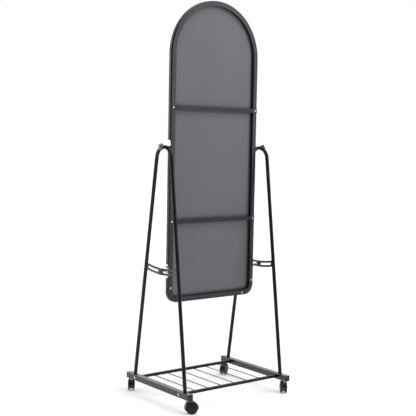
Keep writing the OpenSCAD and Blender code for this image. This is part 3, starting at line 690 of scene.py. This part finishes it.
def knob_rings(radii, boss_r, bore_r, start, side, centre):
    """The rings of a moulded knob whose outline has these radii."""
    around = len(radii)
    soft = [sum(radii[(j + k) % around] for k in range(-2, 3)) / 5 for j in range(around)]
    steps, top = knob_profile(boss_r, bore_r)
    rings = []
    for height, kind, value in steps:
        ring = []
        for j, angle in enumerate(turns(around)):
            radius = value if kind == "round" else min(soft[j], radii[j] + OUTLINE_SLACK) - value
            if kind == "round" and height >= top:
                radius = min(radius, soft[j] - FACE_EDGE)
            across = radius * MM * math.cos(angle)
            up = radius * MM * math.sin(angle)
            ring.append((start + side * height * MM, centre[0] + across, centre[1] + up))
        rings.append(ring)
    return rings


def thread_rings(low, high, centre, radius, pitch):
    """The rings of a threaded stud along X between two places."""
    around = 24
    per_turn = 6
    depth = THREAD_DEPTH * pitch * MM
    count = int((high - low) / (pitch * MM) * per_turn)
    rings = []
    for i in range(count + 1):
        x = low + (high - low) * i / count
        ends = min(1.0, (x - low) / (THREAD_END * MM), (high - x) / (THREAD_END * MM))
        ring = []
        for j, angle in enumerate(turns(around)):
            phase = (x / (pitch * MM) - j / around) % 1.0
            cut = depth * abs(2 * phase - 1)
            here = radius - max(cut, depth * (1 - max(ends, 0.0)))
            ring.append((x, centre[0] + here * math.cos(angle), centre[1] + here * math.sin(angle)))
        rings.append(ring)
    return rings


def middle_of(low, high):
    """The middle of a box in Y and Z."""
    return (low[1] + high[1]) / 2, (low[2] + high[2]) / 2


def add_knobs_and_studs():
    """Moulded knobs and threaded studs in place of the plain ones."""
    for side, sign in (("left", -1), ("right", 1)):
        for kind, size, stud_d, pitch in KNOBS:
            body = f"{side}_{kind}_knob"
            low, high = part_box(f"{kind}_knob_{side}")
            star = kind == "pivot"
            centre = (PIVOT[1], PIVOT[2]) if star else middle_of(low, high)
            outline = lobed_radius if star else fluted_radius
            radii = [outline(angle, size) for angle in turns(144)]
            seat = low[0] if sign > 0 else high[0]
            bore_r = stud_d / 2 + BORE_GAP
            rings = knob_rings(radii, size / 2 * BOSS_SHARE, bore_r, seat, sign, centre)
            name = f"moulded_{kind}_knob_{side}"
            knob = add_piece(name, *skin(rings), KNOB_PLASTIC, body, "black_plastic")
            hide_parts(f"{kind}_knob_{side}")
            low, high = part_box(f"{kind}_stud_{side}")
            rings = thread_rings(low[0], high[0], middle_of(low, high), stud_d / 2 * MM, pitch)
            name = f"threaded_{kind}_stud_{side}"
            stud = add_piece(name, *skin(rings), BRIGHT_STEEL, body, "bright_steel")
            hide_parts(f"{kind}_stud_{side}")


def weld_noise(a, b):
    """A fixed uneven value between -1 and 1."""
    return math.sin(12.9 * a + 4.1 * b) * math.cos(7.3 * a - 2.7 * b)


def wire_weld_rings(index, end):
    """The rings of the lump of weld round one end of one wire."""
    x = (index - (WIRE_COUNT - 1) / 2) * WIRE_PITCH
    rings = []
    for step in range(7):
        share = step / 6
        y = end * (CROSS_FACE_Y + WIRE_WELD_SINK - WIRE_WELD_REACH * step / 6)
        ring = []
        for angle in turns(20):
            rough = weld_noise(index * 2 + end + 0.7 * math.cos(angle), math.sin(angle))
            swell = WIRE_WELD_SWELL * max(0.0, 1 - share) ** 1.6 * (1 + 0.25 * rough)
            radius = WIRE_R - 0.05 + swell
            z = max(WIRE_Z + radius * math.sin(angle), CROSS_BOTTOM + WIRE_WELD_FLOOR)
            ring.append(((x + radius * math.cos(angle)) * MM, y * MM, z * MM))
        rings.append(ring)
    return rings


def add_wire_welds():
    """A small lump of weld round each end of each wire, where it meets a cross bar."""
    vertices = []
    faces = []
    for index in range(WIRE_COUNT):
        for end in (-1, 1):
            more, sides = skin(wire_weld_rings(index, end), start=len(vertices))
            vertices += more
            faces += sides
    add_piece("wire_welds", vertices, faces, WELD_PAINT, "stand", "frame_paint")


def leg_crossing(first, along):
    """Where a leg's inner line enters and leaves the slotted bracket's width."""
    inside = []
    for step in range(round(LEG_SEARCH / SEAM_WELD_STEP)):
        spot = first + along * (step * SEAM_WELD_STEP)
        from_pivot = (spot - Vector((0, PIVOT[2] / MM))).length
        if abs(from_pivot - ARC_R) < ARC_W / 2 - SEAM_WELD_INSET:
            inside.append(step * SEAM_WELD_STEP)
    return inside[0], inside[-1]


def bracket_weld_rings(first, along, across, reach, sign, mirror, face):
    """The rings of one bead: mirror picks the leg, and face the bracket's outer or inner face."""
    count = 60
    low, high = reach
    rings = []
    for i in range(count + 1):
        share = i / count
        spot = first + along * (low + (high - low) * share)
        taper = math.sqrt(max(0.0, 1 - abs(2 * share - 1) ** 8))
        ripple = 0.14 * math.sin(2 * math.pi * share * SEAM_WELD_RIPPLES)
        rough = 0.06 * weld_noise(i * 0.4, sign + 2 * face)
        radius = SEAM_WELD_R[0] + SEAM_WELD_R[1] * taper * (0.86 + ripple + rough)
        ring = []
        for angle in turns(12):
            flat = spot - across * (radius * math.cos(angle))
            x = sign * LEG_X + face * (ARC_T / 2 + radius * math.sin(angle))
            ring.append((x * MM, mirror * flat[0] * MM, flat[1] * MM))
        rings.append(ring)
    return rings


def add_bracket_welds():
    """Weld beads down both faces of each slotted bracket, where it meets the legs."""
    along = Vector((math.sin(LEAN), -math.cos(LEAN)))
    across = Vector((math.cos(LEAN), math.sin(LEAN)))
    inner = math.sqrt(TUBE_R**2 - (ARC_T / 2) ** 2)
    first = Vector((0, CROWN_Z)) + across * (CROWN_R - inner)
    reach = leg_crossing(first, along)
    for side, sign in (("left", -1), ("right", 1)):
        vertices = []
        faces = []
        for mirror in (-1, 1):
            for face in (-1, 1):
                rings = bracket_weld_rings(first, along, across, reach, sign, mirror, face)
                more, sides = skin(rings, start=len(vertices))
                vertices += more
                faces += sides
        add_piece(f"bracket_welds_{side}", vertices, faces, WELD_PAINT, "stand", "frame_paint")


finish_nodes()
add_knobs_and_studs()
add_wire_welds()
add_bracket_welds()
add_camera()
add_world()
add_floor()
add_lamps()
bpy.context.scene.view_settings.view_transform = "Standard"
